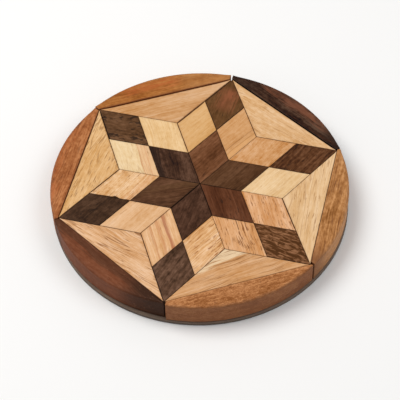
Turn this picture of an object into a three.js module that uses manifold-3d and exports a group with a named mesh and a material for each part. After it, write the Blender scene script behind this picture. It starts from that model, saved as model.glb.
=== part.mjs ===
// Round wooden star puzzle: thirty-six loose hardwood tiles laid on a thin round base board.
// Units are millimetres, +Z is up. The origin is the centre of the board's underside, and the
// tip of arm 1 points along +Y. The arms are numbered clockwise when seen from above.
//
// The tiles make a six-pointed star inside a circle. Each arm is a 60 degree rhombus cut into
// four small rhombi: dark at the centre of the star, light left, light right and dark at the tip.
// A light triangle fills each notch between two arms, and six rim segments close the circle.
import * as THREE from 'three';
import { mergeVertices } from 'three/addons/utils/BufferGeometryUtils.js';
import Module from 'manifold-3d';

const wasm = await Module();
wasm.setup();
const { Manifold, Mesh: ManifoldMesh } = wasm;

// ---- driving dimensions ----
const armCount = 6;
const stripPitch = 18.2; // width across one small rhombus, seam included
const seamGap = 0.3; // clearance between two tiles
const tileThickness = 12.5;
const easedEdge = 0.35; // sanded edge all round a tile

const rimRadius = 75.3;
const rimRoundOver = 0.9; // rounding along the outer top and bottom edge of the rim
const wedgeReach = 1.3; // the wedge that cuts a segment from its disc, in rim radii
// These lists go clockwise from arm 1. Each segment is sanded round a centre of its own.
const rimCentres = [
  [-0.73, 0.61], [-0.73, 0.61], [-0.73, 0.61], [-0.9, 1.8], [-0.16, 0.45], [-0.73, 0.61],
];
const rimSeams = [0.75, 0.35, 0.3, 0.35, 0.55, 0.6]; // between a segment and its triangle
const rimEndGaps = [0.9, 0.3, 0.8, 0.75, 0.3, 0.45]; // between two segments, at each arm's tip
const rimEndShifts = [0.7, 0.9, 1.2, 0.6, 0.3, 0.3]; // anticlockwise shift of that gap

const boardRadius = 75;
const boardThickness = 2;
const boardEasedEdge = 0.3;

const roundSteps = 96; // steps round a full circle
const roundOverSteps = 3;
const easedEdgeSteps = 2;

// ---- derived dimensions ----
const armAngle = (2 * Math.PI) / armCount;
const halfArm = armAngle / 2;
const rhombusSide = stripPitch / Math.sin(armAngle);
const tipRadius = 4 * stripPitch; // centre of the star to the tip of an arm
const notchRadius = 2 * rhombusSide; // centre of the star to the notch between two arms

// ---- woods ----
// The same species varies from tile to tile, so each list goes clockwise from arm 1.
const innerDarkColours = [0x6b4330, 0x5f4736, 0x694232, 0x463b37, 0x5a4638, 0x573f38];
const outerDarkColours = [0x77503a, 0x6b4238, 0x6e5138, 0x5d4c45, 0x4a3b36, 0x695240];
const lightLeftColours = [0xe3b873, 0xe2b588, 0xe4b088, 0xdcb07c, 0xe7b987, 0xedcd98];
const lightRightColours = [0xdcb07e, 0xefd09a, 0xdba56d, 0xdda477, 0xe5b384, 0xeacb92];
const triangleColours = [0xe8c089, 0xe9c78f, 0xdcaa76, 0xe0ae77, 0xe2b475, 0xdcae78];
const rimColours = [0x4d3a34, 0xb8824c, 0xb1733f, 0x5c3c30, 0xb3714a, 0xb9784a];
const boardColour = 0x6a5e52;
const waxedRoughness = 0.5;
const bareBoardRoughness = 0.8;

// The four rhombi of an arm, by their place on the arm's grid.
const rhombi = [
  { name: 'inner_dark_rhombus', leftSteps: 0, rightSteps: 0, colours: innerDarkColours },
  { name: 'light_left_rhombus', leftSteps: 1, rightSteps: 0, colours: lightLeftColours },
  { name: 'light_right_rhombus', leftSteps: 0, rightSteps: 1, colours: lightRightColours },
  { name: 'outer_dark_rhombus', leftSteps: 1, rightSteps: 1, colours: outerDarkColours },
];

function wood(colour, roughness) {
  return new THREE.MeshStandardMaterial({ color: colour, roughness, metalness: 0 });
}

// ---- outlines ----
// A direction measured clockwise from +Y, as a unit vector.
function direction(angle) {
  return new THREE.Vector2(Math.sin(angle), Math.cos(angle));
}

// A corner of the rhombus grid of arm 1: steps along its left side and along its right side.
function gridCorner(leftSteps, rightSteps) {
  const left = direction(-halfArm).multiplyScalar(leftSteps * rhombusSide);
  const right = direction(halfArm).multiplyScalar(rightSteps * rhombusSide);
  return left.add(right);
}

// Moves each side of a convex polygon inward by its own amount. Corners run anticlockwise, and
// side i goes from corner i to corner i + 1.
function insetPolygon(corners, insets) {
  const sides = corners.map((corner, i) => {
    const next = corners[(i + 1) % corners.length];
    const along = next.clone().sub(corner).normalize();
    const inward = new THREE.Vector2(-along.y, along.x);
    return { point: corner.clone().addScaledVector(inward, insets[i]), along };
  });
  return sides.map((side, i) => {
    const previous = sides[(i + sides.length - 1) % sides.length];
    const offset = side.point.clone().sub(previous.point);
    const step = offset.cross(side.along) / previous.along.cross(side.along);
    return previous.point.clone().addScaledVector(previous.along, step);
  });
}

// ---- solids ----
// A flat tile with eased edges, standing on z = 0. It leaves its own half of each seam clear.
function tileGeometry(corners, insets = corners.map(() => seamGap / 2)) {
  const outline = new THREE.Shape(insetPolygon(corners, insets));
  const geometry = new THREE.ExtrudeGeometry(outline, {
    depth: tileThickness - 2 * easedEdge,
    bevelEnabled: true,
    bevelThickness: easedEdge,
    bevelSize: easedEdge,
    bevelOffset: -easedEdge,
    bevelSegments: easedEdgeSteps,
  });
  geometry.translate(0, 0, easedEdge);
  return geometry;
}

// A small rhombus of arm 1. Its inner corner sits at the given place on the arm's grid.
function rhombusGeometry(leftSteps, rightSteps) {
  const corners = [
    gridCorner(leftSteps, rightSteps),
    gridCorner(leftSteps, rightSteps + 1),
    gridCorner(leftSteps + 1, rightSteps + 1),
    gridCorner(leftSteps + 1, rightSteps),
  ];
  return tileGeometry(corners);
}

// The triangle that fills the notch between arm 1 and arm 2.
function notchTriangleGeometry() {
  const corners = [
    direction(halfArm).multiplyScalar(notchRadius),
    direction(armAngle).multiplyScalar(tipRadius),
    direction(0).multiplyScalar(tipRadius),
  ];
  return tileGeometry(corners);
}

// A disc standing on z = 0 with rounded outer edges.
function roundedDiscGeometry(radius, thickness, rounding, roundingSteps) {
  const profile = [new THREE.Vector2(0, 0)];
  for (let i = 0; i <= roundingSteps; i += 1) {
    const turn = (i / roundingSteps) * (Math.PI / 2);
    const out = radius - rounding + rounding * Math.sin(turn);
    profile.push(new THREE.Vector2(out, rounding - rounding * Math.cos(turn)));
  }
  for (let i = 0; i <= roundingSteps; i += 1) {
    const turn = (i / roundingSteps) * (Math.PI / 2);
    const out = radius - rounding + rounding * Math.cos(turn);
    profile.push(new THREE.Vector2(out, thickness - rounding + rounding * Math.sin(turn)));
  }
  profile.push(new THREE.Vector2(0, thickness));
  const geometry = new THREE.LatheGeometry(profile, roundSteps);
  geometry.rotateX(Math.PI / 2);
  return geometry;
}

function toManifold(geometry) {
  const bare = geometry.clone();
  bare.deleteAttribute('normal');
  bare.deleteAttribute('uv');
  const merged = mergeVertices(bare);
  return new Manifold(new ManifoldMesh({
    numProp: 3,
    vertProperties: new Float32Array(merged.attributes.position.array),
    triVerts: new Uint32Array(merged.index.array),
  }));
}

function toGeometry(manifold) {
  const mesh = manifold.getMesh();
  const geometry = new THREE.BufferGeometry();
  geometry.setAttribute('position', new THREE.BufferAttribute(mesh.vertProperties, mesh.numProp));
  geometry.setIndex(new THREE.BufferAttribute(mesh.triVerts, 1));
  geometry.computeVertexNormals();
  return geometry;
}

// A rim segment, placed between arm 1 and arm 2: a rounded disc cut to a wedge with eased edges.
// The wedge's straight side follows the triangle, and its two ends lie along the arms' centre lines.
function rimSegmentGeometry(index) {
  const reach = wedgeReach * rimRadius;
  const nextArm = (index + 1) % armCount;
  const corners = [
    direction(armAngle).multiplyScalar(tipRadius),
    direction(armAngle).multiplyScalar(reach),
    direction(0).multiplyScalar(reach),
    direction(0).multiplyScalar(tipRadius),
  ];
  const insets = [
    rimEndGaps[nextArm] / 2 + rimEndShifts[nextArm],
    0,
    rimEndGaps[index] / 2 - rimEndShifts[index],
    rimSeams[index] - seamGap / 2,
  ];
  const wedge = toManifold(tileGeometry(corners, insets));
  const star = new THREE.Vector2(0, 0);
  const centre = new THREE.Vector2(...rimCentres[index]).rotateAround(star, index * armAngle);
  const disc = roundedDiscGeometry(rimRadius, tileThickness, rimRoundOver, roundOverSteps);
  disc.translate(centre.x, centre.y, 0);
  return toGeometry(toManifold(disc).intersect(wedge));
}

// ---- assembly ----
function namedMesh(name, geometry, material) {
  const mesh = new THREE.Mesh(geometry, material);
  mesh.name = name;
  return mesh;
}

// One sixth of the tiles: an arm, the notch triangle clockwise of it and that triangle's rim segment.
function buildSector(index) {
  const number = index + 1;
  const sector = new THREE.Group();
  sector.rotation.z = -index * armAngle;

  for (const { name, leftSteps, rightSteps, colours } of rhombi) {
    const material = wood(colours[index], waxedRoughness);
    sector.add(namedMesh(`${name}_${number}`, rhombusGeometry(leftSteps, rightSteps), material));
  }

  const triangleMaterial = wood(triangleColours[index], waxedRoughness);
  sector.add(namedMesh(`notch_triangle_${number}`, notchTriangleGeometry(), triangleMaterial));

  const rimMaterial = wood(rimColours[index], waxedRoughness);
  sector.add(namedMesh(`rim_segment_${number}`, rimSegmentGeometry(index), rimMaterial));
  return sector;
}

const puzzle = new THREE.Group();
const boardGeometry = roundedDiscGeometry(boardRadius, boardThickness, boardEasedEdge, easedEdgeSteps);
puzzle.add(namedMesh('base_board', boardGeometry, wood(boardColour, bareBoardRoughness)));

const tiles = new THREE.Group();
tiles.position.z = boardThickness;
for (let index = 0; index < armCount; index += 1) {
  tiles.add(buildSector(index));
}
puzzle.add(tiles);

export default puzzle;
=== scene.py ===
"""Round wooden star puzzle: 36 loose hardwood tiles on a thin round board.

Each tile is rebuilt with softly rounded edges on its CAD outline and gets a solid-wood material of
its own, cut to the grain, colour and flaws of that tile. Lengths are in millimetres until a mesh
or a node needs metres.
"""

import math

import bmesh
import bpy
from mathutils import Matrix, Vector, geometry, noise


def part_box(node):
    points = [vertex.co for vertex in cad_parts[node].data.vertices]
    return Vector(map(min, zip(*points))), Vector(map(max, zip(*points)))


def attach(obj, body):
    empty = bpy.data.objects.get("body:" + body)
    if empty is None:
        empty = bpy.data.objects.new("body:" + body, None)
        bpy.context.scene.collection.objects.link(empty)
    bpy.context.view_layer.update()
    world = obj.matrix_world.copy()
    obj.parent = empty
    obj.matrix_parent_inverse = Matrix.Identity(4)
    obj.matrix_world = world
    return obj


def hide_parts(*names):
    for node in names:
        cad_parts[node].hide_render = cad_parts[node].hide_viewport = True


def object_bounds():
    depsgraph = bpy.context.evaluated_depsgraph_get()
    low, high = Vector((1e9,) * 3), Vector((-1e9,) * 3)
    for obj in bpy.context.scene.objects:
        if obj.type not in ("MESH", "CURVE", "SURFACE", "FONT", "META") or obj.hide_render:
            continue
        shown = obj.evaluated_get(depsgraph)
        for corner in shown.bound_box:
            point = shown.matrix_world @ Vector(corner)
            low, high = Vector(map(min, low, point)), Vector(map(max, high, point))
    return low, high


MM = 0.001
ARMS = range(1, 7)
RHOMBI = ("inner_dark_rhombus", "light_left_rhombus", "light_right_rhombus", "outer_dark_rhombus")
TILE_KINDS = RHOMBI + ("notch_triangle", "rim_segment")
TILES = [f"{kind}_{arm}" for kind in TILE_KINDS for arm in ARMS]

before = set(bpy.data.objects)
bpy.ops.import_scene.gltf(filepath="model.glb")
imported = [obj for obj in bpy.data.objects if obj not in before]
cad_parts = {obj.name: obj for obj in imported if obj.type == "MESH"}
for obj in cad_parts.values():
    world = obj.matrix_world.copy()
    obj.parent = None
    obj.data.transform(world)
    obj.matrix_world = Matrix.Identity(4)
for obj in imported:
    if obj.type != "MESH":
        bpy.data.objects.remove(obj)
cad_low, cad_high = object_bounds()


# ---------------------------------------------------------------- seams
# For each kind of seam, the width of the gap between two neighbouring tiles and the rounding of the
# edges along it. The gaps between the ends of the rim segments come from the solids.
SEAM_KINDS = {
    "gaping": (0.6, 0.3),
    "broad": (0.5, 0.65),
    "wide": (0.3, 0.5),
    "open": (0.2, 0.4),
    "usual": (0.14, 0.24),
    "tight": (0.1, 0.16),
    "closed": (0.05, 0.1),
}
RIM_ROUNDING = 0.9  # outer edge of the rim segments
END_ROUNDING = 0.3  # ends of the rim segments
# Chipped edges: the tile, the neighbour along the chipped side, and for each chip its place along
# the side, its depth and its half width.
CHIPS = {
    ("light_right_rhombus_5", "outer_dark_rhombus_5"): (
        (11.0, 0.35, 5.0), (12.9, 0.75, 0.8), (14.2, 0.4, 0.7), (19.5, 0.25, 1.2),
    ),
    ("light_right_rhombus_3", "light_left_rhombus_4"): ((6.0, 0.25, 0.5),),
}
CHIP_SPACING = 0.35
NEIGHBOUR_REACH = 1.2  # how far outside a side its neighbour is looked for


def seam_key(first, second):
    return tuple(sorted((first, second)))


def seams(kind, *pairs):
    return {seam_key(*pair): kind for pair in pairs}


SEAMS = {
    **seams("gaping", ("rim_segment_1", "notch_triangle_1")),
    **seams("broad", ("rim_segment_6", "notch_triangle_6")),
    **seams(
        "wide",
        ("light_left_rhombus_1", "notch_triangle_6"),
        ("outer_dark_rhombus_1", "notch_triangle_6"),
    ),
    **seams(
        "open",
        ("light_left_rhombus_3", "notch_triangle_2"),
        ("inner_dark_rhombus_4", "inner_dark_rhombus_5"),
        ("outer_dark_rhombus_6", "notch_triangle_5"),
        ("rim_segment_5", "notch_triangle_5"),
        ("light_right_rhombus_5", "notch_triangle_5"),
    ),
    **seams(
        "usual",
        ("outer_dark_rhombus_4", "notch_triangle_4"),
        ("outer_dark_rhombus_1", "light_right_rhombus_1"),
        ("inner_dark_rhombus_3", "inner_dark_rhombus_4"),
        ("light_right_rhombus_1", "notch_triangle_1"),
        ("light_right_rhombus_4", "notch_triangle_4"),
        ("light_right_rhombus_6", "light_left_rhombus_1"),
    ),
    **seams(
        "closed",
        ("inner_dark_rhombus_1", "inner_dark_rhombus_2"),
        ("light_left_rhombus_6", "notch_triangle_5"),
        ("light_right_rhombus_2", "light_left_rhombus_3"),
        ("light_right_rhombus_3", "light_left_rhombus_4"),
        ("light_right_rhombus_2", "notch_triangle_2"),
        ("light_right_rhombus_3", "notch_triangle_3"),
        ("light_right_rhombus_1", "light_left_rhombus_2"),
        ("rim_segment_3", "notch_triangle_3"),
        ("light_right_rhombus_6", "notch_triangle_6"),
        ("light_right_rhombus_5", "light_left_rhombus_6"),
    ),
}


# ---------------------------------------------------------------- outlines
SAME_POINT = 0.05  # corners of a solid that are nearer than this are one
STRAIGHT = 0.003  # sine of the least turn that makes a corner


def convex_hull(points):
    """The corners of the points' convex hull, anticlockwise."""
    ordered = sorted(points, key=lambda p: (p.x, p.y))
    chains = []
    for run in (ordered, ordered[::-1]):
        chain = []
        for point in run:
            while len(chain) > 1 and (chain[-1] - chain[-2]).cross(point - chain[-1]) <= 0:
                chain.pop()
            chain.append(point)
        chains += chain[:-1]
    return chains


def cad_outline(node):
    """The plan outline of a tile's CAD solid, anticlockwise, in millimetres, without stray points."""
    points = [Vector((v.co.x / MM, v.co.y / MM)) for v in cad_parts[node].data.vertices]
    hull = convex_hull(points)
    hull = [p for p, q in zip(hull, hull[1:] + hull[:1]) if (p - q).length > SAME_POINT]
    corners = []
    for i, point in enumerate(hull):
        before, after = hull[i - 1], hull[(i + 1) % len(hull)]
        if abs((point - before).normalized().cross((after - point).normalized())) > STRAIGHT:
            corners.append(point)
    return corners


def circle_centre(a, b, c):
    """Centre of the circle through three points."""
    d = 2 * (a.x * (b.y - c.y) + b.x * (c.y - a.y) + c.x * (a.y - b.y))
    sa, sb, sc = a.length_squared, b.length_squared, c.length_squared
    x = (sa * (b.y - c.y) + sb * (c.y - a.y) + sc * (a.y - b.y)) / d
    y = (sa * (c.x - b.x) + sb * (a.x - c.x) + sc * (b.x - a.x)) / d
    return Vector((x, y))


class Side:
    """One straight or round side of a tile, from start to end."""

    def __init__(self, start, end, centre=None):
        self.start = start
        self.end = end
        self.centre = centre
        self.rounding = SEAM_KINDS["usual"][1]
        self.seam_shading = 1.0  # how much painted seam shade its edges take
        self.end_shading = 0.0  # how much painted shade darkens the whole side, where ends of rim segments meet
        self.chips = ()

    def middle(self):
        return (self.start + self.end) / 2

    def points(self, spacing):
        """Points from start up to, but not at, end."""
        if self.chips:
            spacing = CHIP_SPACING
        if self.centre is None:
            count = max(2, round((self.end - self.start).length / spacing))
            return [self.start.lerp(self.end, i / count) for i in range(count)]
        radius = (self.start - self.centre).length
        first = math.atan2(*reversed(self.start - self.centre))
        last = math.atan2(*reversed(self.end - self.centre))
        turn = (last - first) % (2 * math.pi)
        count = max(2, round(turn * radius / spacing))
        angles = [first + turn * i / count for i in range(count)]
        return [self.centre + radius * Vector((math.cos(a), math.sin(a))) for a in angles]


def tile_sides(node):
    corners = cad_outline(node)
    if not node.startswith("rim_segment"):
        return [Side(a, b) for a, b in zip(corners, corners[1:] + corners[:1])]
    lengths = [(b - a).length for a, b in zip(corners, corners[1:] + corners[:1])]
    chord = lengths.index(max(lengths))
    ring = corners[chord:] + corners[:chord]  # chord start, chord end, rim start, ..., rim end
    centre = circle_centre(ring[2], ring[(2 + len(ring)) // 2], ring[-1])
    return [
        Side(ring[0], ring[1]),
        Side(ring[1], ring[2]),
        Side(ring[2], ring[-1], centre),
        Side(ring[-1], ring[0]),
    ]


def outward_of(side):
    along = (side.end - side.start).normalized()
    return Vector((along.y, -along.x))


def move_side(side, outward):
    shift = outward_of(side) * outward
    side.start = side.start + shift
    side.end = side.end + shift


def close_corners(sides):
    """Joins neighbouring straight sides again after some have moved."""
    moved = [(s.start.copy(), s.end.copy()) for s in sides]
    for i, side in enumerate(sides):
        j = (i + 1) % len(sides)
        if side.centre is not None or sides[j].centre is not None:
            continue
        (a, b), (c, d) = moved[i], moved[j]
        along, other = b - a, d - c
        step = (c - a).cross(other) / along.cross(other)
        side.end = a + along * step
        sides[j].start = side.end.copy()


def tile_at(outlines, point):
    """The tile whose outline holds the point, if any."""
    for tile, outline in outlines.items():
        pairs = zip(outline, outline[1:] + outline[:1])
        if all((b - a).cross(point - a) > 0 for a, b in pairs):
            return tile
    return None


def gap_to(outline, side):
    """Distance from the middle of a side to another tile's outline."""
    spot = side.middle()
    pairs = zip(outline, outline[1:] + outline[:1])
    return min((geometry.intersect_point_line(spot, a, b)[0] - spot).length for a, b in pairs)


def fit_seams(all_sides):
    """Sets the width, rounding, painted shade and chips of the seam along each side.

    A triangle's short side meets two rhombi, so there the rhombi make up the whole difference.
    """
    outlines = {tile: cad_outline(tile) for tile in all_sides}
    for tile, sides in all_sides.items():
        for side in sides:
            if side.centre is not None:
                side.rounding = RIM_ROUNDING
                side.seam_shading = 0.0
                continue
            neighbour = tile_at(outlines, side.middle() + outward_of(side) * NEIGHBOUR_REACH)
            if neighbour is None:
                continue
            side.chips = CHIPS.get((tile, neighbour), ())
            if "rim" in tile and "rim" in neighbour:
                side.rounding = END_ROUNDING
                # the ends of rim segments that meet get painted shade
                side.end_shading = 1.0
                continue
            width, side.rounding = SEAM_KINDS[SEAMS.get(seam_key(tile, neighbour), "tight")]
            share = 0.5
            if "triangle" in tile + neighbour and "rim" not in tile + neighbour:
                share = 0 if "triangle" in tile else 1
            move_side(side, (gap_to(outlines[neighbour], side) - width) * share)
        close_corners(sides)


# ---------------------------------------------------------------- tile meshes
POINT_SPACING = 1.3
CORNER_CUT = 0.42  # a corner's bend starts and ends this far from the corner
CORNER_CLEAR = 1.4 * CORNER_CUT  # a side's other points keep this far from its ends
CORNER_STEPS = 3
ROUNDING_ROOM = 0.45  # share of the way to a sharp corner's middle line that rounding may take
WOBBLE_ROOM = 0.15  # the same for the wobble
SMOOTHING_PASSES = 2  # let a large rounding fade into a small one round a corner
EDGE_STEPS = 4
QUARTER_TURN = [math.pi / 2 * i / EDGE_STEPS for i in range(EDGE_STEPS + 1)]
WOBBLE = 0.05  # unevenness of a hand-sanded edge
WOBBLE_SCALE = (0.45, 0.45, 0.1575)  # per millimetre of width, length and height
TOP_RINGS = (0.985, 0.955, 0.9, 0.8, 0.6, 0.3)  # shares of the way from the centre to the edge
TOP_UNEVENNESS = 0.06  # how much lower than its solid a tile may stand
UNEVENNESS_SCALE = 0.37
CROWN = 0.025  # how much higher sanding leaves the middle of a top than its edges
CROWN_REACH = 0.8
WAVE = 0.035  # unevenness of a top
WAVE_SCALE = 0.11
WAVE_REACH = 1.5  # the wave fades out about this near to the edge
WEAR_REACH = 0.55  # how far the wear of an edge reaches over the top
WALL_STEP = 1.6  # from the top or the bottom to the nearest ring of the wall
WALL_WEAR = (0.2, 0, 0.2)  # near the bottom, halfway up and near the top
# Painted shade in the seams: near the bottom, halfway up and near the top of the walls, and on the
# bottom rounding.
WALL_SEAM_SHADE = (0.1, 0.15, 0.45)
BOTTOM_SEAM_SHADE = 0.3
SEAM_SHADE_FADE = 0.6  # lower lets the seam's painted shade reach further over the rounding
# How dark the painted shade makes the ends of rim segments that meet.
END_SHADE_DEPTH = 0.85


class Spot:
    """One point of a tile's plan loop, perhaps part of the way from one side to the following one."""

    def __init__(self, point, side, following=None, share=0.0):
        other = following or side
        self.point = point
        self.rounding = side.rounding + (other.rounding - side.rounding) * share
        self.seam_shading = side.seam_shading + (other.seam_shading - side.seam_shading) * share
        self.end_shading = side.end_shading + (other.end_shading - side.end_shading) * share
        self.inward = None
        self.wobble = WOBBLE


def chip_depth(side, run):
    depths = [depth * math.exp(-((run - place) / half) ** 2) for place, depth, half in side.chips]
    return sum(depths)


def clear_points(side, points):
    """The side's points that are clear of its corners, pushed in where it is chipped."""
    length = sum((q - p).length for p, q in zip(points, points[1:]))
    run = 0.0
    kept = []
    for before, point in zip(points, points[1:]):
        run += (point - before).length
        if CORNER_CLEAR < run < length - CORNER_CLEAR:
            kept.append(point - outward_of(side) * chip_depth(side, run))
    return kept


def bend_start(corner, neighbour):
    """Where the bend round a corner starts, on the way to the corner's neighbour."""
    return corner + (neighbour - corner).normalized() * CORNER_CUT


def rounded_loop(sides):
    """Closed plan loop with rounded corners."""
    loop = []
    corners = []
    for side, following in zip(sides, sides[1:] + sides[:1]):
        points = side.points(POINT_SPACING) + [side.end]
        ahead = following.points(POINT_SPACING)
        start, end = bend_start(points[0], points[1]), bend_start(points[-1], points[-2])
        loop += [Spot(point, side) for point in (start, *clear_points(side, points), end)]
        corner = side.end
        after = bend_start(ahead[0], ahead[1])
        for step in range(1, CORNER_STEPS):
            t = step / CORNER_STEPS
            bend = end.lerp(corner, t).lerp(corner.lerp(after, t), t)
            loop.append(Spot(bend, side, following, t))
        half_angle = (points[-2] - corner).angle(ahead[1] - corner) / 2
        corners.append((corner, math.tan(half_angle)))
    fit_rounding(loop, corners)
    return loop


def fit_rounding(loop, corners):
    """Keeps rounding and wobble small inside sharp corners, where the two walls come together."""
    for i, spot in enumerate(loop):
        along = (loop[(i + 1) % len(loop)].point - loop[i - 1].point).normalized()
        spot.inward = Vector((-along.y, along.x))
        room = min((spot.point - corner).length * slope for corner, slope in corners)
        spot.rounding = min(spot.rounding, ROUNDING_ROOM * room)
        spot.wobble = min(WOBBLE, WOBBLE_ROOM * room)
    for _ in range(SMOOTHING_PASSES):
        radii = [spot.rounding for spot in loop]
        for i, spot in enumerate(loop):
            average = (radii[i - 1] + radii[i] + radii[(i + 1) % len(radii)]) / 3
            spot.rounding = min(radii[i], average)


def seeded(name):
    """A repeatable offset for a piece's noise."""
    number = sum((i + 1) * ord(c) for i, c in enumerate(name))
    return Vector(((number * 37) % 1009, (number * 59) % 757, (number * 83) % 541))


def ring_mesh(name, rings, top_centre, bottom_centre, attributes):
    """Skins closed rings of points, bottom to top, and fans both ends to a centre point."""
    mesh = bpy.data.meshes.new(name)
    bm = bmesh.new()
    layers = {key: bm.verts.layers.float.new(key) for key in attributes}
    rows = []
    for ring in rings:
        row = []
        for co, values in ring:
            vert = bm.verts.new(co * MM)
            for key, value in values.items():
                vert[layers[key]] = value
            row.append(vert)
        rows.append(row)
    for lower, upper in zip(rows, rows[1:]):
        for i in range(len(lower)):
            j = (i + 1) % len(lower)
            bm.faces.new((lower[i], lower[j], upper[j], upper[i]))
    low = bm.verts.new(bottom_centre * MM)
    high = bm.verts.new(top_centre * MM)
    for i in range(len(rows[0])):
        j = (i + 1) % len(rows[0])
        bm.faces.new((rows[0][j], rows[0][i], low))
        bm.faces.new((rows[-1][i], rows[-1][j], high))
    for face in bm.faces:
        face.smooth = True
    bm.normal_update()
    bm.to_mesh(mesh)
    bm.free()
    piece = bpy.data.objects.new(name, mesh)
    bpy.context.scene.collection.objects.link(piece)
    return piece


def unit_noise(place):
    """Noise between 0 and 1."""
    return 0.5 + 0.5 * noise.noise(place)


def wall_rings(loop, floor_z, top_z, seed):
    """Rings of points from the underside's edge, up the wall, to the top's edge."""

    def point(spot, inset, z, edge, side, seam):
        place = Vector((spot.point.x, spot.point.y, z)) * Vector(WOBBLE_SCALE) + seed
        flat = spot.point + spot.inward * (inset + spot.wobble * unit_noise(place))
        # painted shade in the seams and at the ends of rim segments that meet
        seam_shade = max(seam * spot.seam_shading, side * END_SHADE_DEPTH * spot.end_shading)
        return Vector((flat.x, flat.y, z)), {"edge": edge, "side": side, "seam": seam_shade}

    def edge_ring(angle, level, up, side, seam):
        """A ring on a rounded edge, at an angle of 0 on the flat face and 90 degrees on the wall."""
        inset = 1 - math.sin(angle)
        rise = up * (1 - math.cos(angle))
        return [point(s, s.rounding * inset, level + s.rounding * rise, 1, side, seam) for s in loop]

    rings = [edge_ring(angle, floor_z, 1, 1, BOTTOM_SEAM_SHADE) for angle in QUARTER_TURN]
    low, high = floor_z + WALL_STEP, top_z - WALL_STEP
    for z, edge, seam in zip((low, (low + high) / 2, high), WALL_WEAR, WALL_SEAM_SHADE):
        rings.append([point(spot, 0, z, edge, 1, seam) for spot in loop])
    for angle in reversed(QUARTER_TURN):
        side = math.sin(angle)
        rings.append(edge_ring(angle, top_z, -1, side, side ** SEAM_SHADE_FADE))
    return rings


def top_rings(rim, centre, top_z, seed):
    """Rings of points from the top's edge inwards, slightly crowned and wavy."""
    rings = []
    for share in TOP_RINGS:
        ring = []
        for corner in rim:
            spoke = corner.to_2d() - centre
            inward = (1 - share) * spoke.length
            flat = centre + spoke * share
            crown = CROWN * (1 - math.exp(-inward / CROWN_REACH))
            wave = WAVE * noise.noise(Vector((flat.x, flat.y, 0)) * WAVE_SCALE + seed)
            z = top_z + crown + wave * (1 - math.exp(-inward / WAVE_REACH))
            wear = math.exp(-inward / WEAR_REACH)
            ring.append((Vector((flat.x, flat.y, z)), {"edge": wear, "side": 0, "seam": 0}))
        rings.append(ring)
    return rings


def tile_piece(node, sides):
    low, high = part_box(node)
    seed = seeded(node)
    floor_z = low.z / MM
    top_z = high.z / MM - TOP_UNEVENNESS * unit_noise(seed * UNEVENNESS_SCALE)
    loop = rounded_loop(sides)
    centre = sum((spot.point for spot in loop), Vector((0, 0))) / len(loop)
    rings = wall_rings(loop, floor_z, top_z, seed)
    rings += top_rings([co for co, _ in rings[-1]], centre, top_z, seed)
    top_centre = Vector((*centre, rings[-1][0][0].z))
    bottom_centre = Vector((*centre, floor_z))
    return ring_mesh(node + "_wood", rings, top_centre, bottom_centre, ("edge", "side", "seam"))


BOARD_POINTS = 240
BOARD_ROUNDING = 0.35
BOARD_RAGGEDNESS = 0.05
BOARD_RAGGED_SCALE = 22
BOARD_SHADE = 2.4  # how quickly the painted shade on the cut edge fades out towards its top
BOARD_WEAR_STARTS = 6  # how far in from its edge the board's faces begin to be worn
BOARD_WORN = 2


def board_profile(radius, thickness):
    """Distance from the middle, height and edge wear, from the underside round to the top."""
    corner = radius - BOARD_ROUNDING
    halfway, fresh, worn = radius / 2, radius - BOARD_WEAR_STARTS, radius - BOARD_WORN
    under = [(halfway, 0, 0), (fresh, 0, 0), (corner, 0, 0.6)]
    over = [(worn, thickness, 0.2), (fresh, thickness, 0), (halfway, thickness, 0)]
    bends = []
    for angle in QUARTER_TURN[1:]:
        out, up = BOARD_ROUNDING * math.sin(angle), BOARD_ROUNDING * (1 - math.cos(angle))
        bends.append((corner + out, up, 1))
    for angle in QUARTER_TURN:
        out, down = BOARD_ROUNDING * math.cos(angle), BOARD_ROUNDING * (1 - math.sin(angle))
        bends.append((corner + out, thickness - down, 1))
    return under + bends + over


def board_side_shade(height):
    """Painted shade on the board's cut edge: dark at the bottom, fading out towards the top."""
    return min(1.0, max(0.0, BOARD_SHADE * (1 - height)))


def board_piece():
    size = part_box("base_board")[1] / MM
    radius, thickness = size.x, size.z
    seed = seeded("board")
    rings = []
    for out, z, edge in board_profile(radius, thickness):
        ring = []
        for i in range(BOARD_POINTS):
            turn = 2 * math.pi * i / BOARD_POINTS
            spot = Vector((math.cos(turn), math.sin(turn), 0))
            ragged = BOARD_RAGGEDNESS * (noise.noise(spot * BOARD_RAGGED_SCALE + seed) - 1)
            reach = out + ragged if out > radius - BOARD_WORN / 2 else out
            side = board_side_shade(z / thickness) if edge == 1 else 0
            ring.append((spot * reach + Vector((0, 0, z)), {"edge": edge, "side": side}))
        rings.append(ring)
    top, bottom = Vector((0, 0, thickness)), Vector((0, 0, 0))
    return ring_mesh("base_board_fibre", rings, top, bottom, ("edge", "side"))


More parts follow.
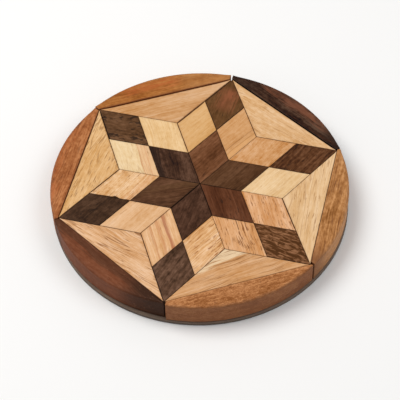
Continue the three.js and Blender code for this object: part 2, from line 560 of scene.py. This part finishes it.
# ---------------------------------------------------------------- node helpers
class Graph:
    """Builds a material's nodes. Any input may be a number, a vector, a colour or a socket."""

    def __init__(self, name):
        self.material = bpy.data.materials.new(name)
        self.material.use_nodes = True
        self.tree = self.material.node_tree
        self.bsdf = self.tree.nodes["Principled BSDF"]

    def add(self, kind, **settings):
        node = self.tree.nodes.new(kind)
        for key, value in settings.items():
            setattr(node, key, value)
        return node

    def feed(self, socket, value):
        if isinstance(value, bpy.types.NodeSocket):
            self.tree.links.new(value, socket)
        else:
            socket.default_value = value

    def math(self, operation, a, b=0.0, c=0.0):
        node = self.add("ShaderNodeMath", operation=operation)
        for socket, value in zip(node.inputs, (a, b, c)):
            self.feed(socket, value)
        return node.outputs[0]

    def vector(self, operation, a, b):
        node = self.add("ShaderNodeVectorMath", operation=operation)
        self.feed(node.inputs[0], a)
        self.feed(node.inputs[1], b)
        return node.outputs[0]

    def noise(self, place, scale, detail=2.0, roughness=0.5, distortion=0.0):
        node = self.add("ShaderNodeTexNoise")
        self.feed(node.inputs["Vector"], self.vector("MULTIPLY", place, scale))
        self.feed(node.inputs["Scale"], 1.0)
        self.feed(node.inputs["Detail"], detail)
        self.feed(node.inputs["Roughness"], roughness)
        self.feed(node.inputs["Distortion"], distortion)
        return node.outputs["Fac"]

    def cells(self, place, scale):
        node = self.add("ShaderNodeTexVoronoi")
        self.feed(node.inputs["Vector"], self.vector("MULTIPLY", place, scale))
        self.feed(node.inputs["Scale"], 1.0)
        split = self.add("ShaderNodeSeparateColor")
        self.feed(split.inputs[0], node.outputs["Color"])
        return node.outputs["Distance"], split.outputs[0]

    def smooth(self, value, low, high, to_low=0.0, to_high=1.0):
        node = self.add("ShaderNodeMapRange", interpolation_type="SMOOTHSTEP")
        for key, item in (
            ("Value", value),
            ("From Min", low),
            ("From Max", high),
            ("To Min", to_low),
            ("To Max", to_high),
        ):
            self.feed(node.inputs[key], item)
        return node.outputs["Result"]

    def mix(self, fac, a, b, blend="MIX"):
        node = self.add("ShaderNodeMix", data_type="RGBA", blend_type=blend)
        self.feed(node.inputs[0], fac)
        self.feed(node.inputs[6], a)
        self.feed(node.inputs[7], b)
        return node.outputs[2]

    def ramp(self, value, stops):
        node = self.add("ShaderNodeValToRGB")
        self.feed(node.inputs[0], value)
        elements = node.color_ramp.elements
        elements.new(0.5)
        for element, (position, colour) in zip(elements, stops):
            element.position = position
            element.color = colour
        return node.outputs[0]

    def attribute(self, name):
        return self.add("ShaderNodeAttribute", attribute_name=name).outputs["Fac"]

    def sum(self, *terms):
        total = terms[0]
        for term in terms[1:]:
            total = self.math("ADD", total, term)
        return total

    def product(self, *factors):
        total = factors[0]
        for factor in factors[1:]:
            total = self.math("MULTIPLY", total, factor)
        return total

    def swing(self, value, amount):
        """Turns 0..1 noise into a swing of -amount..amount round zero."""
        return self.product(self.math("SUBTRACT", value, 0.5), 2 * amount)

    def bump(self, height, strength, distance):
        node = self.add("ShaderNodeBump")
        self.feed(node.inputs["Strength"], strength)
        self.feed(node.inputs["Distance"], distance)
        self.feed(node.inputs["Height"], height)
        return node.outputs[0]

    def surface(self, **inputs):
        """Feeds the shader; an underscore stands for a space in an input's name."""
        for name, value in inputs.items():
            self.feed(self.bsdf.inputs[name.replace("_", " ")], value)


DARKEST = 4  # no colour is quite black


def channels(code):
    """Red, green and blue, from 0 to 255, of a colour such as 'c8a070'."""
    return [int(code[i:i + 2], 16) for i in (0, 2, 4)]


def linear(rgb):
    """An sRGB colour, from 0 to 255, as linear RGBA."""
    shares = [max(c, DARKEST) / 255 for c in rgb]
    return (*(c / 12.92 if c <= 0.04045 else ((c + 0.055) / 1.055) ** 2.4 for c in shares), 1.0)


def colour(code):
    return linear(channels(code))


# ---------------------------------------------------------------- wood
# What a tile's wood looks like. Lengths are in millimetres; bands lie across the grain, measured
# from the middle of the tile.
WOOD = {
    "rings": 0.4,  # broad growth bands
    "ring_scale": 0.22,
    "streaks": 0.4,  # narrow bands
    "fine": 0.3,
    "fibres": 0.25,
    "blotches": 0.3,
    "mottle": 0.2,
    "bend": 1.0,  # how far the grain wanders
    "lines": 0.15,  # thin dark growth lines
    "line_scale": 0.12,
    "flecks": 0.3,  # how much of the face is short dark flecks
    "fleck_size": (3.2, 0.5),
    "fleck_depth": 0.7,
    "pores": 0.4,  # share of the cells that hold a fine open pore
    "figure": 0.0,  # wavy interlocked grain
    "figure_scale": (0.16, 0.8, 0.8),
    "bands": (),
    "edge": 0.3,  # how far worn edges take their own tone
    "side": 0.5,  # how far the walls take their tone, which paints their shade, and on rim 2 their light
    "seam_tone": "5e2e0e",  # painted shade along the seams
    # how strongly the painted shade along the seams shows
    "seam": 0.85,
    "roughness": 0.5,
    "specular": 0.2,
}
LIGHT = {
    **WOOD,
    "darker": (20, 28, 37),  # from the tone to the dark streaks at a contrast of 1: red, green, blue
    "lighter": (12, 19, 27),  # from the tone to the light streaks
    "fleck_tone": "8e5828",
    "edge_tone": "8c5526",
    # painted shade on the walls
    "side_tone": "a87848",
    "side": 0.4,
}
DARK = {
    **WOOD,
    "darker": (27, 22, 22),
    "lighter": (23, 20, 19),
    "fleck_tone": "1c110b",
    "fleck_size": (2.4, 0.45),
    "edge_tone": "24150c",
    # painted shade on the walls
    "side_tone": "3a2416",
    "side": 0.45,
    # painted shade along the seams
    "seam_tone": "1c0d06",
    "seam": 0.8,
    "roughness": 0.48,
    "specular": 0.1,
}
RIM = {
    **WOOD,
    "darker": (35, 32, 32),
    "lighter": (28, 28, 27),
    "fleck_tone": "6a3a1c",
    "edge_tone": "80583c",
    # painted shade on the walls
    "side_tone": "80502e",
    # painted shade along the seams
    "seam_tone": "4e240c",
    "roughness": 0.48,
}
SMOOTH = {"rings": 0.3, "streaks": 0.3, "fine": 0.25, "lines": 0.15, "flecks": 0.2, "mottle": 0.3}
SMOOTH_LIGHT = {**LIGHT, **SMOOTH}
SMOOTH_DARK = {**DARK, **SMOOTH}


def band(low, high, tone, strength=0.6, softness=0.6, along=None, fade=1.5, patchy=0.0):
    """A band of another tone from low to high across the grain, all along it or only in part."""
    return {
        "low": low,
        "high": high,
        "tone": tone,
        "strength": strength,
        "softness": softness,
        "along": along,
        "fade": fade,
        "patchy": patchy,  # how far the band breaks up into patches
    }


def wood(base, grain, tone, contrast, **own):
    """A tile's wood: its grain's direction in plan, in degrees from +X, its main tone, how far its
    dark and light streaks lie from that tone, and what else sets the tile apart."""
    return {**base, "grain": grain, "tone": tone, "contrast": contrast, **own}


LOOKS = {
    "inner_dark_rhombus_1": wood(DARK, 62, "6a4024", 1.1, mottle=0.4, flecks=0.35),
    "inner_dark_rhombus_2": wood(SMOOTH_DARK, 60, "54341c", 1.0),
    "inner_dark_rhombus_3": wood(DARK, -60, "5e341c", 1.0, flecks=0.45),
    "inner_dark_rhombus_4": wood(SMOOTH_DARK, 84, "482c1c", 0.9, mottle=0.6, flecks=0.3),
    "inner_dark_rhombus_5": wood(
        SMOOTH_DARK, 24, "52321c", 1.3,
        bands=(band(1, 4, "755434", 0.35, 2.0),),
    ),
    "inner_dark_rhombus_6": wood(
        SMOOTH_DARK, -62, "402616", 1.6,
        rings=0.45, ring_scale=0.1, mottle=0.4, streaks=0.2,
        bands=(band(-10, -6, "1c100b", 0.6, 1.5),),
    ),
    "outer_dark_rhombus_1": wood(
        SMOOTH_DARK, 84, "624020", 0.8,
        mottle=0.45, flecks=0.4,
        bands=(band(-6, 4, "98583a", 0.7, 1.4, (-7, 14), 6, 0.5),),
    ),
    "outer_dark_rhombus_2": wood(
        DARK, 64, "543016", 1.5,
        rings=0.25, mottle=0.45, flecks=0.5, lines=0.1,
    ),
    "outer_dark_rhombus_3": wood(
        DARK, -12, "744b2c", 1.4,
        figure=0.85, streaks=0.2, rings=0.2, mottle=0.3, figure_scale=(0.2, 0.75, 0.75),
        bend=2.0,
    ),
    "outer_dark_rhombus_4": wood(DARK, 72, "583c2a", 1.3, mottle=0.6, flecks=0.4, blotches=0.6),
    "outer_dark_rhombus_5": wood(SMOOTH_DARK, 60, "402816", 1.0, mottle=0.6, flecks=0.4),
    "outer_dark_rhombus_6": wood(
        SMOOTH_DARK, 2, "5e3e24", 1.1,
        flecks=0.95, fleck_size=(2.6, 1.5), fleck_depth=0.75, mottle=0.55,
    ),
    "light_left_rhombus_1": wood(SMOOTH_LIGHT, 60, "d6a66c", 0.7),
    "light_right_rhombus_1": wood(
        SMOOTH_LIGHT, 60, "d09c68", 1.0,
        flecks=0.15,
        bands=(
            band(-6.9, -6.55, "84501f", 0.8, 0.14),
            band(-4.55, -4.25, "84501f", 0.65, 0.14),
            band(-9.6, -6.6, "dca468", 0.5, 0.2),
        ),
    ),
    "light_left_rhombus_2": wood(
        SMOOTH_LIGHT, 64, "d09a66", 1.2,
        flecks=0.2, blotches=0.4, mottle=0.5,
    ),
    "light_right_rhombus_2": wood(SMOOTH_LIGHT, 60, "e6c292", 0.9),
    "light_left_rhombus_3": wood(
        LIGHT, -63, "dda777", 1.4,
        flecks=0.8, fleck_size=(2.8, 0.5), lines=0.3, fleck_tone="84502a", fleck_depth=0.75,
    ),
    "light_right_rhombus_3": wood(
        LIGHT, -62, "d49a64", 1.4,
        flecks=0.85, lines=0.5, fleck_tone="7a4418", fleck_depth=0.8, fleck_size=(3.6, 0.55),
        bands=(band(0.9, 1.35, "3c2210", 0.95, 0.12, (-10.5, -3)),),
    ),
    "light_left_rhombus_4": wood(
        LIGHT, 61, "e0af7b", 1.9,
        flecks=0.8, lines=0.4, fleck_tone="9a5a24", fleck_depth=0.8,
    ),
    "light_right_rhombus_4": wood(
        LIGHT, -60, "e0b080", 1.2,
        flecks=0.2, lines=0.3,
        bands=(
            band(2.8, 4.6, "a85c38", 0.75, 0.5),
            band(-1.0, 0.2, "c07a4c", 0.5, 0.6),
            band(-4.5, -3.8, "b87448", 0.5, 0.4),
        ),
    ),
    "light_left_rhombus_5": wood(SMOOTH_LIGHT, 60, "deb082", 0.9),
    "light_right_rhombus_5": wood(
        SMOOTH_LIGHT, 66, "e1b380", 1.7,
        flecks=0.45, lines=0.4, mottle=0.45,
        bands=(band(-9, -5, "cc8c5c", 0.35, 1.0),),
    ),
    "light_left_rhombus_6": wood(
        SMOOTH_LIGHT, -62, "e8ca9c", 0.7,
        lines=0.3, mottle=0.4,
        bands=(
            band(2.2, 9.5, "dca274", 0.45, 0.5),
            band(2.4, 2.9, "b87444", 0.55, 0.25),
            band(4.6, 4.9, "c07c4c", 0.4, 0.2),
            band(6.2, 7.0, "cc8a5c", 0.4, 0.3),
        ),
    ),
    "light_right_rhombus_6": wood(SMOOTH_LIGHT, -60, "e6c08c", 0.9),
    "notch_triangle_1": wood(SMOOTH_LIGHT, -26, "dcb07f", 1.1, rings=0.5, lines=0.4, mottle=0.45),
    "notch_triangle_2": wood(LIGHT, 93, "e2bb8c", 0.9, flecks=0.7, fleck_depth=0.5, lines=0.5),
    "notch_triangle_3": wood(
        LIGHT, 35, "d29f6e", 1.0,
        rings=0.35, ring_scale=0.6, streaks=0.55, flecks=0.6, fleck_size=(6.0, 0.5),
        fleck_depth=0.5, lines=0.9, line_scale=0.2,
        bands=(band(13.5, 24, "f2e0bc", 0.55, 2.0),),
    ),
    "notch_triangle_4": wood(
        LIGHT, -22, "dcac7e", 1.4,
        rings=0.2, ring_scale=0.4, streaks=0.45, flecks=0.75, fleck_size=(4.5, 0.5),
        fleck_depth=0.6, lines=0.9, line_scale=0.16,
    ),
    "notch_triangle_5": wood(
        LIGHT, 82, "dcae76", 1.0,
        flecks=0.85, fleck_tone="8a5826", fleck_depth=0.65, fleck_size=(4.0, 0.55), lines=0.6,
        mottle=0.35,
    ),
    "notch_triangle_6": wood(
        LIGHT, 31, "ce9c6a", 1.2,
        rings=0.5, flecks=0.3, fleck_size=(5.0, 0.5), fleck_depth=0.4,
    ),
    "rim_segment_1": wood(
        RIM, -30, "3a2214", 1.1,
        mottle=0.55, side_tone="2c1f1a", edge_tone="4a342a", seam_tone="0e0806", streaks=0.5,
        blotches=0.4, specular=0.1,
        bands=(
            band(4.4, 14, "87533b", 0.62, 1.5, (-25, 29), 9, 0.7),
            band(-6, 14, "221611", 0.4, 1.0, (-50, -18), 9),
            band(-6, 14, "221611", 0.5, 1.0, (20, 50), 9),
        ),
    ),
    # Painted light: its walls take a tone lighter than its top.
    "rim_segment_2": wood(
        RIM, 90, "ac7440", 1.3,
        rings=0.35, lines=0.9, flecks=0.65, fleck_size=(7.0, 0.5), side_tone="c68e5e",
        side=0.55, streaks=0.6, line_scale=0.2, mottle=0.5,
        bands=(
            band(-12, -6.5, "7e4e26", 0.4, 0.9, (-40, 10), 8),
            band(-11.5, -10.2, "5e3618", 0.5, 0.3, (-34, 26), 8),
            band(2, 12, "a0683e", 0.5, 1.0, (-60, -18), 10),
            band(-20, 20, "683e22", 0.5, 1.0, (-60, -25), 9),
        ),
    ),
    "rim_segment_3": wood(
        RIM, 30, "ac6f3e", 1.1,
        figure=0.5, figure_scale=(0.8, 2.6, 2.6), flecks=0.5, fleck_size=(1.6, 0.45),
        side_tone="744428", side=0.6, mottle=0.5, blotches=0.3,
    ),
    "rim_segment_4": wood(
        RIM, -30, "764228", 0.6,
        rings=0.12, mottle=0.4, flecks=0.45, fleck_tone="96684e", side_tone="7a4a32",
        side=0.15, edge_tone="4a2a1c", seam_tone="150b07", edge=0.15, fleck_size=(1.2, 0.35),
        fleck_depth=0.45, specular=0.1, streaks=0.3, blotches=0.2,
        bands=(
            band(-4.0, 1.6, "341e0e", 0.55, 1.2),
            band(-20, 20, "2a180c", 0.75, 1.0, (10, 80), 16),
            band(-20, 20, "442a16", 0.3, 1.0, (-80, -26), 12),
        ),
    ),
    "rim_segment_5": wood(
        RIM, 88, "a05e2e", 1.0,
        streaks=0.6, lines=0.5, mottle=0.65, blotches=0.6, flecks=0.5, fleck_size=(4.0, 0.5),
        seam_tone="6a300c",
        bands=(
            band(2.0, 6.0, "b4602e", 0.5, 2.0, (-16, 26), 8, 0.6),
            band(-1.0, 6.0, "bc5c2a", 0.45, 1.6, (-38, -12), 8, 0.4),
        ),
    ),
    "rim_segment_6": wood(
        RIM, 30, "a46428", 0.7,
        blotches=0.6, mottle=0.5, flecks=0.3, seam_tone="6a2c0c", streaks=0.6, fine=0.4,
        side_tone="94582e",
        bands=(
            band(3.0, 8.0, "ba5a2a", 0.5, 2.2, (-26, 14), 8, 0.5),
            band(-20, 20, "cc9660", 0.34, 1.0, (2, 50), 18, 0.5),
        ),
    ),
}


def tones(look):
    """The dark, middle and light tones of a wood."""
    middle = channels(look["tone"])
    dark = [c - look["contrast"] * step for c, step in zip(middle, look["darker"])]
    light = [c + look["contrast"] * step for c, step in zip(middle, look["lighter"])]
    return linear(dark), linear(middle), linear(light)


def grain_place(graph, piece, look):
    """Coordinates in millimetres from the tile's middle: x along the grain, y across it, z up."""
    spots = [vertex.co for vertex in piece.data.vertices]
    middle = Vector([(min(c[i] for c in spots) + max(c[i] for c in spots)) / 2 / MM for i in range(3)])
    turn = Matrix.Rotation(-math.radians(look["grain"]), 3, "Z")
    where = graph.add("ShaderNodeTexCoord")
    node = graph.add("ShaderNodeMapping")
    graph.feed(node.inputs["Vector"], where.outputs["Object"])
    graph.feed(node.inputs["Scale"], (1 / MM, 1 / MM, 1 / MM))
    graph.feed(node.inputs["Rotation"], (0, 0, -math.radians(look["grain"])))
    graph.feed(node.inputs["Location"], tuple(-(turn @ middle)))
    return node.outputs[0]


FLECK_SOFTNESS = 0.07
CONTOURS = 22.0  # how many growth lines the slow noise has from its least to its greatest
LINE_WIDTH = 0.17  # as a share of the way from one growth line to the next
PATCH_EDGE = (0.4, 0.6)  # the noise at which a patchy band is faintest and fullest


def band_mask(graph, item, along, across, streaks, patches):
    """Where one band lies: soft across the grain, and faded at its ends if it has any."""
    soft = item["softness"]
    ragged = graph.sum(across, graph.swing(streaks, 4 * soft))
    inside = graph.product(
        graph.smooth(ragged, item["low"] - soft, item["low"] + soft),
        graph.smooth(ragged, item["high"] - soft, item["high"] + soft, 1.0, 0.0),
        item["strength"],
    )
    if item["along"]:
        start, end = item["along"]
        inside = graph.product(
            inside,
            graph.smooth(along, start, start + item["fade"]),
            graph.smooth(along, end - item["fade"], end, 1.0, 0.0),
        )
    if item["patchy"]:
        inside = graph.product(inside, graph.smooth(patches, *PATCH_EDGE, 1 - item["patchy"], 1.0))
    return inside


def fleck_mask(graph, spot, look):
    """Short dark flecks along the grain, in loose clusters."""
    length, width = look["fleck_size"]
    grain = graph.noise(spot, (0.55 / length, 0.7 / width, 0.7 / width), 2.5, 0.62)
    clusters = graph.noise(spot, (0.05, 0.16, 0.16), 2.0, 0.5)
    level = graph.sum(0.74 - 0.2 * look["flecks"], graph.swing(clusters, -0.18))
    return graph.smooth(grain, level, graph.sum(level, FLECK_SOFTNESS))




def line_mask(graph, spot, look):
    """Thin growth lines: the contours of a slow noise stretched along the grain."""
    scale = look["line_scale"]
    slow = graph.noise(spot, (0.006, scale, scale), 2.0, 0.45)
    contour = graph.math("PINGPONG", graph.product(slow, CONTOURS), 0.5)
    broken = graph.noise(spot, (0.06, 0.3, 0.3), 2.0, 0.5)
    shape = graph.smooth(contour, 0.0, LINE_WIDTH, 1.0, 0.0)
    return graph.product(shape, graph.smooth(broken, 0.4, 0.62, 0.0, look["lines"]))


def pore_mask(graph, spot, look):
    """Hair-thin open pores."""
    distance, chance = graph.cells(spot, (0.22, 2.1, 2.1))
    shape = graph.smooth(distance, 0.08, 0.2, 1.0, 0.0)
    present = graph.smooth(chance, 1 - look["pores"] - 0.1, 1 - look["pores"] + 0.2)
    return graph.product(shape, present)


# Noise layers of the wood: how fast they change along, across and up through the grain, per
# millimetre, then their detail and roughness.
LAYERS = {
    "streaks": ((0.045, 1.0, 1.0), 3.0, 0.6),
    "fine": ((0.11, 2.6, 2.6), 2.0, 0.6),
    "fibres": ((0.22, 6.5, 6.5), 2.0, 0.6),
    "blotches": ((0.07, 0.12, 0.12), 3.0, 0.5),
    "mottle": ((0.4, 0.6, 0.6), 3.0, 0.6),
    "patches": ((0.12, 0.3, 0.3), 3.0, 0.6),
}
TONED_LAYERS = ("streaks", "fine", "fibres", "blotches", "mottle")
TONE_STOPS = (0.14, 0.5, 0.86)  # where the dark, middle and light tones lie on the noise
LINE_FADE = 0.8  # growth lines hardly show on the side faces
PORE_DEPTH = 0.45


def grain_spots(graph, piece, look):
    """The place in the tile, and the same place as bent by the wandering grain."""
    place = grain_place(graph, piece, look)
    seed = tuple(seeded(piece.name))
    bend = graph.noise(graph.vector("ADD", place, seed), (0.035, 0.06, 0.06))
    shift = graph.add("ShaderNodeCombineXYZ")
    graph.feed(shift.inputs[1], graph.swing(bend, 2 * look["bend"]))
    bent = graph.vector("ADD", place, shift.outputs[0])
    return place, bent, graph.vector("ADD", bent, seed)


def wood_tone(graph, spot, layers, look):
    """The wood's own colour, from dark to light by its growth bands, streaks and blotches."""
    scale = look["ring_scale"]
    rings = graph.noise(spot, (0.012, scale, scale), 3.0, 0.55)
    terms = [0.5, graph.swing(rings, look["rings"])]
    terms += [graph.swing(layers[name], look[name]) for name in TONED_LAYERS]
    if look["figure"]:
        waves = graph.noise(spot, look["figure_scale"], 2.0, 0.5, 1.4)
        terms.append(graph.swing(graph.smooth(waves, 0.38, 0.7), look["figure"] / 2))
    return graph.ramp(graph.sum(*terms), zip(TONE_STOPS, tones(look)))


def worn_and_shaded(graph, place, surface, look):
    """The surface with its worn edges and the painted shade along its seams."""
    patchy = graph.noise(place, (0.35, 0.35, 0.35), 3.0, 0.6)
    worn = graph.product(graph.attribute("edge"), graph.smooth(patchy, 0.35, 0.6), look["edge"])
    surface = graph.mix(worn, surface, colour(look["edge_tone"]))
    # Painted shade along the seams and at the ends of rim segments, stronger in patches.
    depth = graph.smooth(patchy, 0.2, 0.6, 0.75 * look["seam"], look["seam"])
    seam_shade = graph.product(graph.attribute("seam"), depth)
    return graph.mix(seam_shade, surface, colour(look["seam_tone"]))


def wood_material(piece, look):
    graph = Graph(piece.name)
    place, bent, spot = grain_spots(graph, piece, look)
    axes = graph.add("ShaderNodeSeparateXYZ")
    graph.feed(axes.inputs[0], bent)
    along, across = axes.outputs[0], axes.outputs[1]
    layers = {name: graph.noise(spot, *settings) for name, settings in LAYERS.items()}

    surface = wood_tone(graph, spot, layers, look)
    side = graph.attribute("side")
    # The walls take a tone that paints their shade, and on rim 2 their light.
    surface = graph.mix(graph.product(side, look["side"]), surface, colour(look["side_tone"]))
    for item in look["bands"]:
        mask = band_mask(graph, item, along, across, layers["streaks"], layers["patches"])
        surface = graph.mix(mask, surface, colour(item["tone"]))
    top_share = graph.sum(1.0, graph.product(side, -LINE_FADE))
    flecks = fleck_mask(graph, spot, look)
    pores = pore_mask(graph, spot, look)
    for mark in (
        graph.product(line_mask(graph, spot, look), top_share),
        graph.product(flecks, look["fleck_depth"]),
        graph.product(pores, PORE_DEPTH),
    ):
        surface = graph.mix(mark, surface, colour(look["fleck_tone"]))

    roughness = graph.sum(
        look["roughness"],
        graph.swing(layers["fine"], 0.12),
        graph.swing(layers["blotches"], 0.1),
        graph.product(flecks, 0.12),
        graph.product(pores, 0.2),
        graph.product(side, 0.12),
    )
    height = graph.sum(
        graph.swing(layers["fibres"], 0.3),
        graph.swing(layers["fine"], 0.3),
        graph.product(flecks, -0.35),
        graph.product(pores, -0.7),
    )
    graph.surface(
        Base_Color=worn_and_shaded(graph, place, surface, look),
        Roughness=roughness,
        Normal=graph.bump(height, 0.4, 0.06 * MM),
        Specular_IOR_Level=look["specular"],
    )
    return graph.material


def board_material(piece):
    """Grey-brown wood-fibre board: short random fibres, a few dark chips, a rougher cut edge."""
    graph = Graph(piece.name)
    where = graph.add("ShaderNodeTexCoord").outputs["Object"]
    place = graph.vector("MULTIPLY", where, (1 / MM, 1 / MM, 1 / MM))
    fine = graph.noise(place, (2.2, 2.2, 3.5), 4.0, 0.65, 0.6)
    broad = graph.noise(place, (0.12, 0.12, 0.2), 3.0, 0.5)
    distance, chance = graph.cells(place, (0.55, 0.55, 0.8))
    chips = graph.product(
        graph.smooth(distance, 0.12, 0.3, 1.0, 0.0), graph.smooth(chance, 0.7, 0.9), 0.5
    )
    value = graph.sum(0.5, graph.swing(fine, 0.5), graph.swing(broad, 0.25))
    fibres = [colour(code) for code in ("5c4c40", "766253", "8e7866")]
    surface = graph.ramp(value, zip((0.15, 0.5, 0.85), fibres))
    surface = graph.mix(chips, surface, colour("3c322a"))
    # Painted shade on the cut edge, darker towards the bottom.
    surface = graph.mix(graph.product(graph.attribute("side"), 0.75), surface, colour("33271e"))
    graph.surface(
        Base_Color=surface,
        Roughness=graph.sum(0.78, graph.swing(fine, 0.1)),
        Normal=graph.bump(fine, 0.4, 0.08 * MM),
    )
    return graph.material


# ---------------------------------------------------------------- build the pieces
def hand_over(piece, node, body, material):
    """Lets a finished piece stand for its solid and ride on its body."""
    piece.data.materials.append(material)
    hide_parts(node)
    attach(piece, body)


all_sides = {tile: tile_sides(tile) for tile in TILES}
fit_seams(all_sides)
for tile in TILES:
    piece = tile_piece(tile, all_sides[tile])
    hand_over(piece, tile, tile, wood_material(piece, LOOKS[tile]))
board = board_piece()
hand_over(board, "base_board", "board", board_material(board))


# ---------------------------------------------------------------- floor, light and camera
FLOOR_SIZE = 6.0  # half its width, in metres
FLOOR_DROP = 0.0002  # keeps the floor clear of the board's underside


def build_floor():
    mesh = bpy.data.meshes.new("floor")
    signs = ((-1, -1), (1, -1), (1, 1), (-1, 1))
    corners = [(x * FLOOR_SIZE, y * FLOOR_SIZE, -FLOOR_DROP) for x, y in signs]
    mesh.from_pydata(corners, [], [(0, 1, 2, 3)])
    floor = bpy.data.objects.new("floor", mesh)
    bpy.context.scene.collection.objects.link(floor)
    graph = Graph("floor")
    graph.surface(Base_Color=(0.92, 0.92, 0.92, 1), Roughness=0.9)
    mesh.materials.append(graph.material)


def area_light(name, place, watts, tint):
    """A round soft light, one metre across, aimed at the middle of the board."""
    data = bpy.data.lights.new(name, "AREA")
    data.shape = "DISK"
    data.size = 1.0
    data.energy = watts
    data.color = tint
    lamp = bpy.data.objects.new(name, data)
    lamp.location = place
    lamp.rotation_mode = "QUATERNION"
    lamp.rotation_quaternion = (-Vector(place)).to_track_quat("-Z", "Y")
    bpy.context.scene.collection.objects.link(lamp)


def build_lights():
    world = bpy.data.worlds.new("studio")
    bpy.context.scene.world = world
    world.use_nodes = True
    background = world.node_tree.nodes["Background"]
    background.inputs["Color"].default_value = (1, 1, 1, 1)
    background.inputs["Strength"].default_value = 0.4
    area_light("key", (-0.75, 0.1, 1.2), 13.2, (1.0, 0.98, 0.95))
    area_light("fill", (0.9, 0.1, 1.2), 5.0, (1, 1, 1))


# The camera stands at the photograph's viewing angle. Angles are in degrees and lengths in metres.
CAMERA_AZIMUTH = 14.79
CAMERA_ELEVATION = 52.21
CAMERA_DISTANCE = 0.6844
CAMERA_ROLL = -1.53
CAMERA_LENS = 123.85  # millimetres
SENSOR_WIDTH = 36.0
CAMERA_AIM = (0.00242, -0.01013)  # where the optical axis meets the tiles' top


def build_camera():
    aim = Vector((*CAMERA_AIM, cad_high.z))
    azimuth, elevation = math.radians(CAMERA_AZIMUTH), math.radians(CAMERA_ELEVATION)
    back = Vector((
        math.sin(azimuth) * math.cos(elevation),
        -math.cos(azimuth) * math.cos(elevation),
        math.sin(elevation),
    ))
    data = bpy.data.cameras.new("camera")
    data.lens = CAMERA_LENS
    data.sensor_width = SENSOR_WIDTH
    camera = bpy.data.objects.new("camera", data)
    camera.location = aim + back * CAMERA_DISTANCE
    camera.rotation_mode = "QUATERNION"
    level = (-back).to_track_quat("-Z", "Y")
    roll = Matrix.Rotation(math.radians(CAMERA_ROLL), 3, back).to_quaternion()
    camera.rotation_quaternion = roll @ level
    bpy.context.scene.collection.objects.link(camera)
    bpy.context.scene.camera = camera


build_floor()
build_lights()
build_camera()
bpy.context.scene.view_settings.view_transform = "Standard"
bpy.context.scene.view_settings.look = "None"
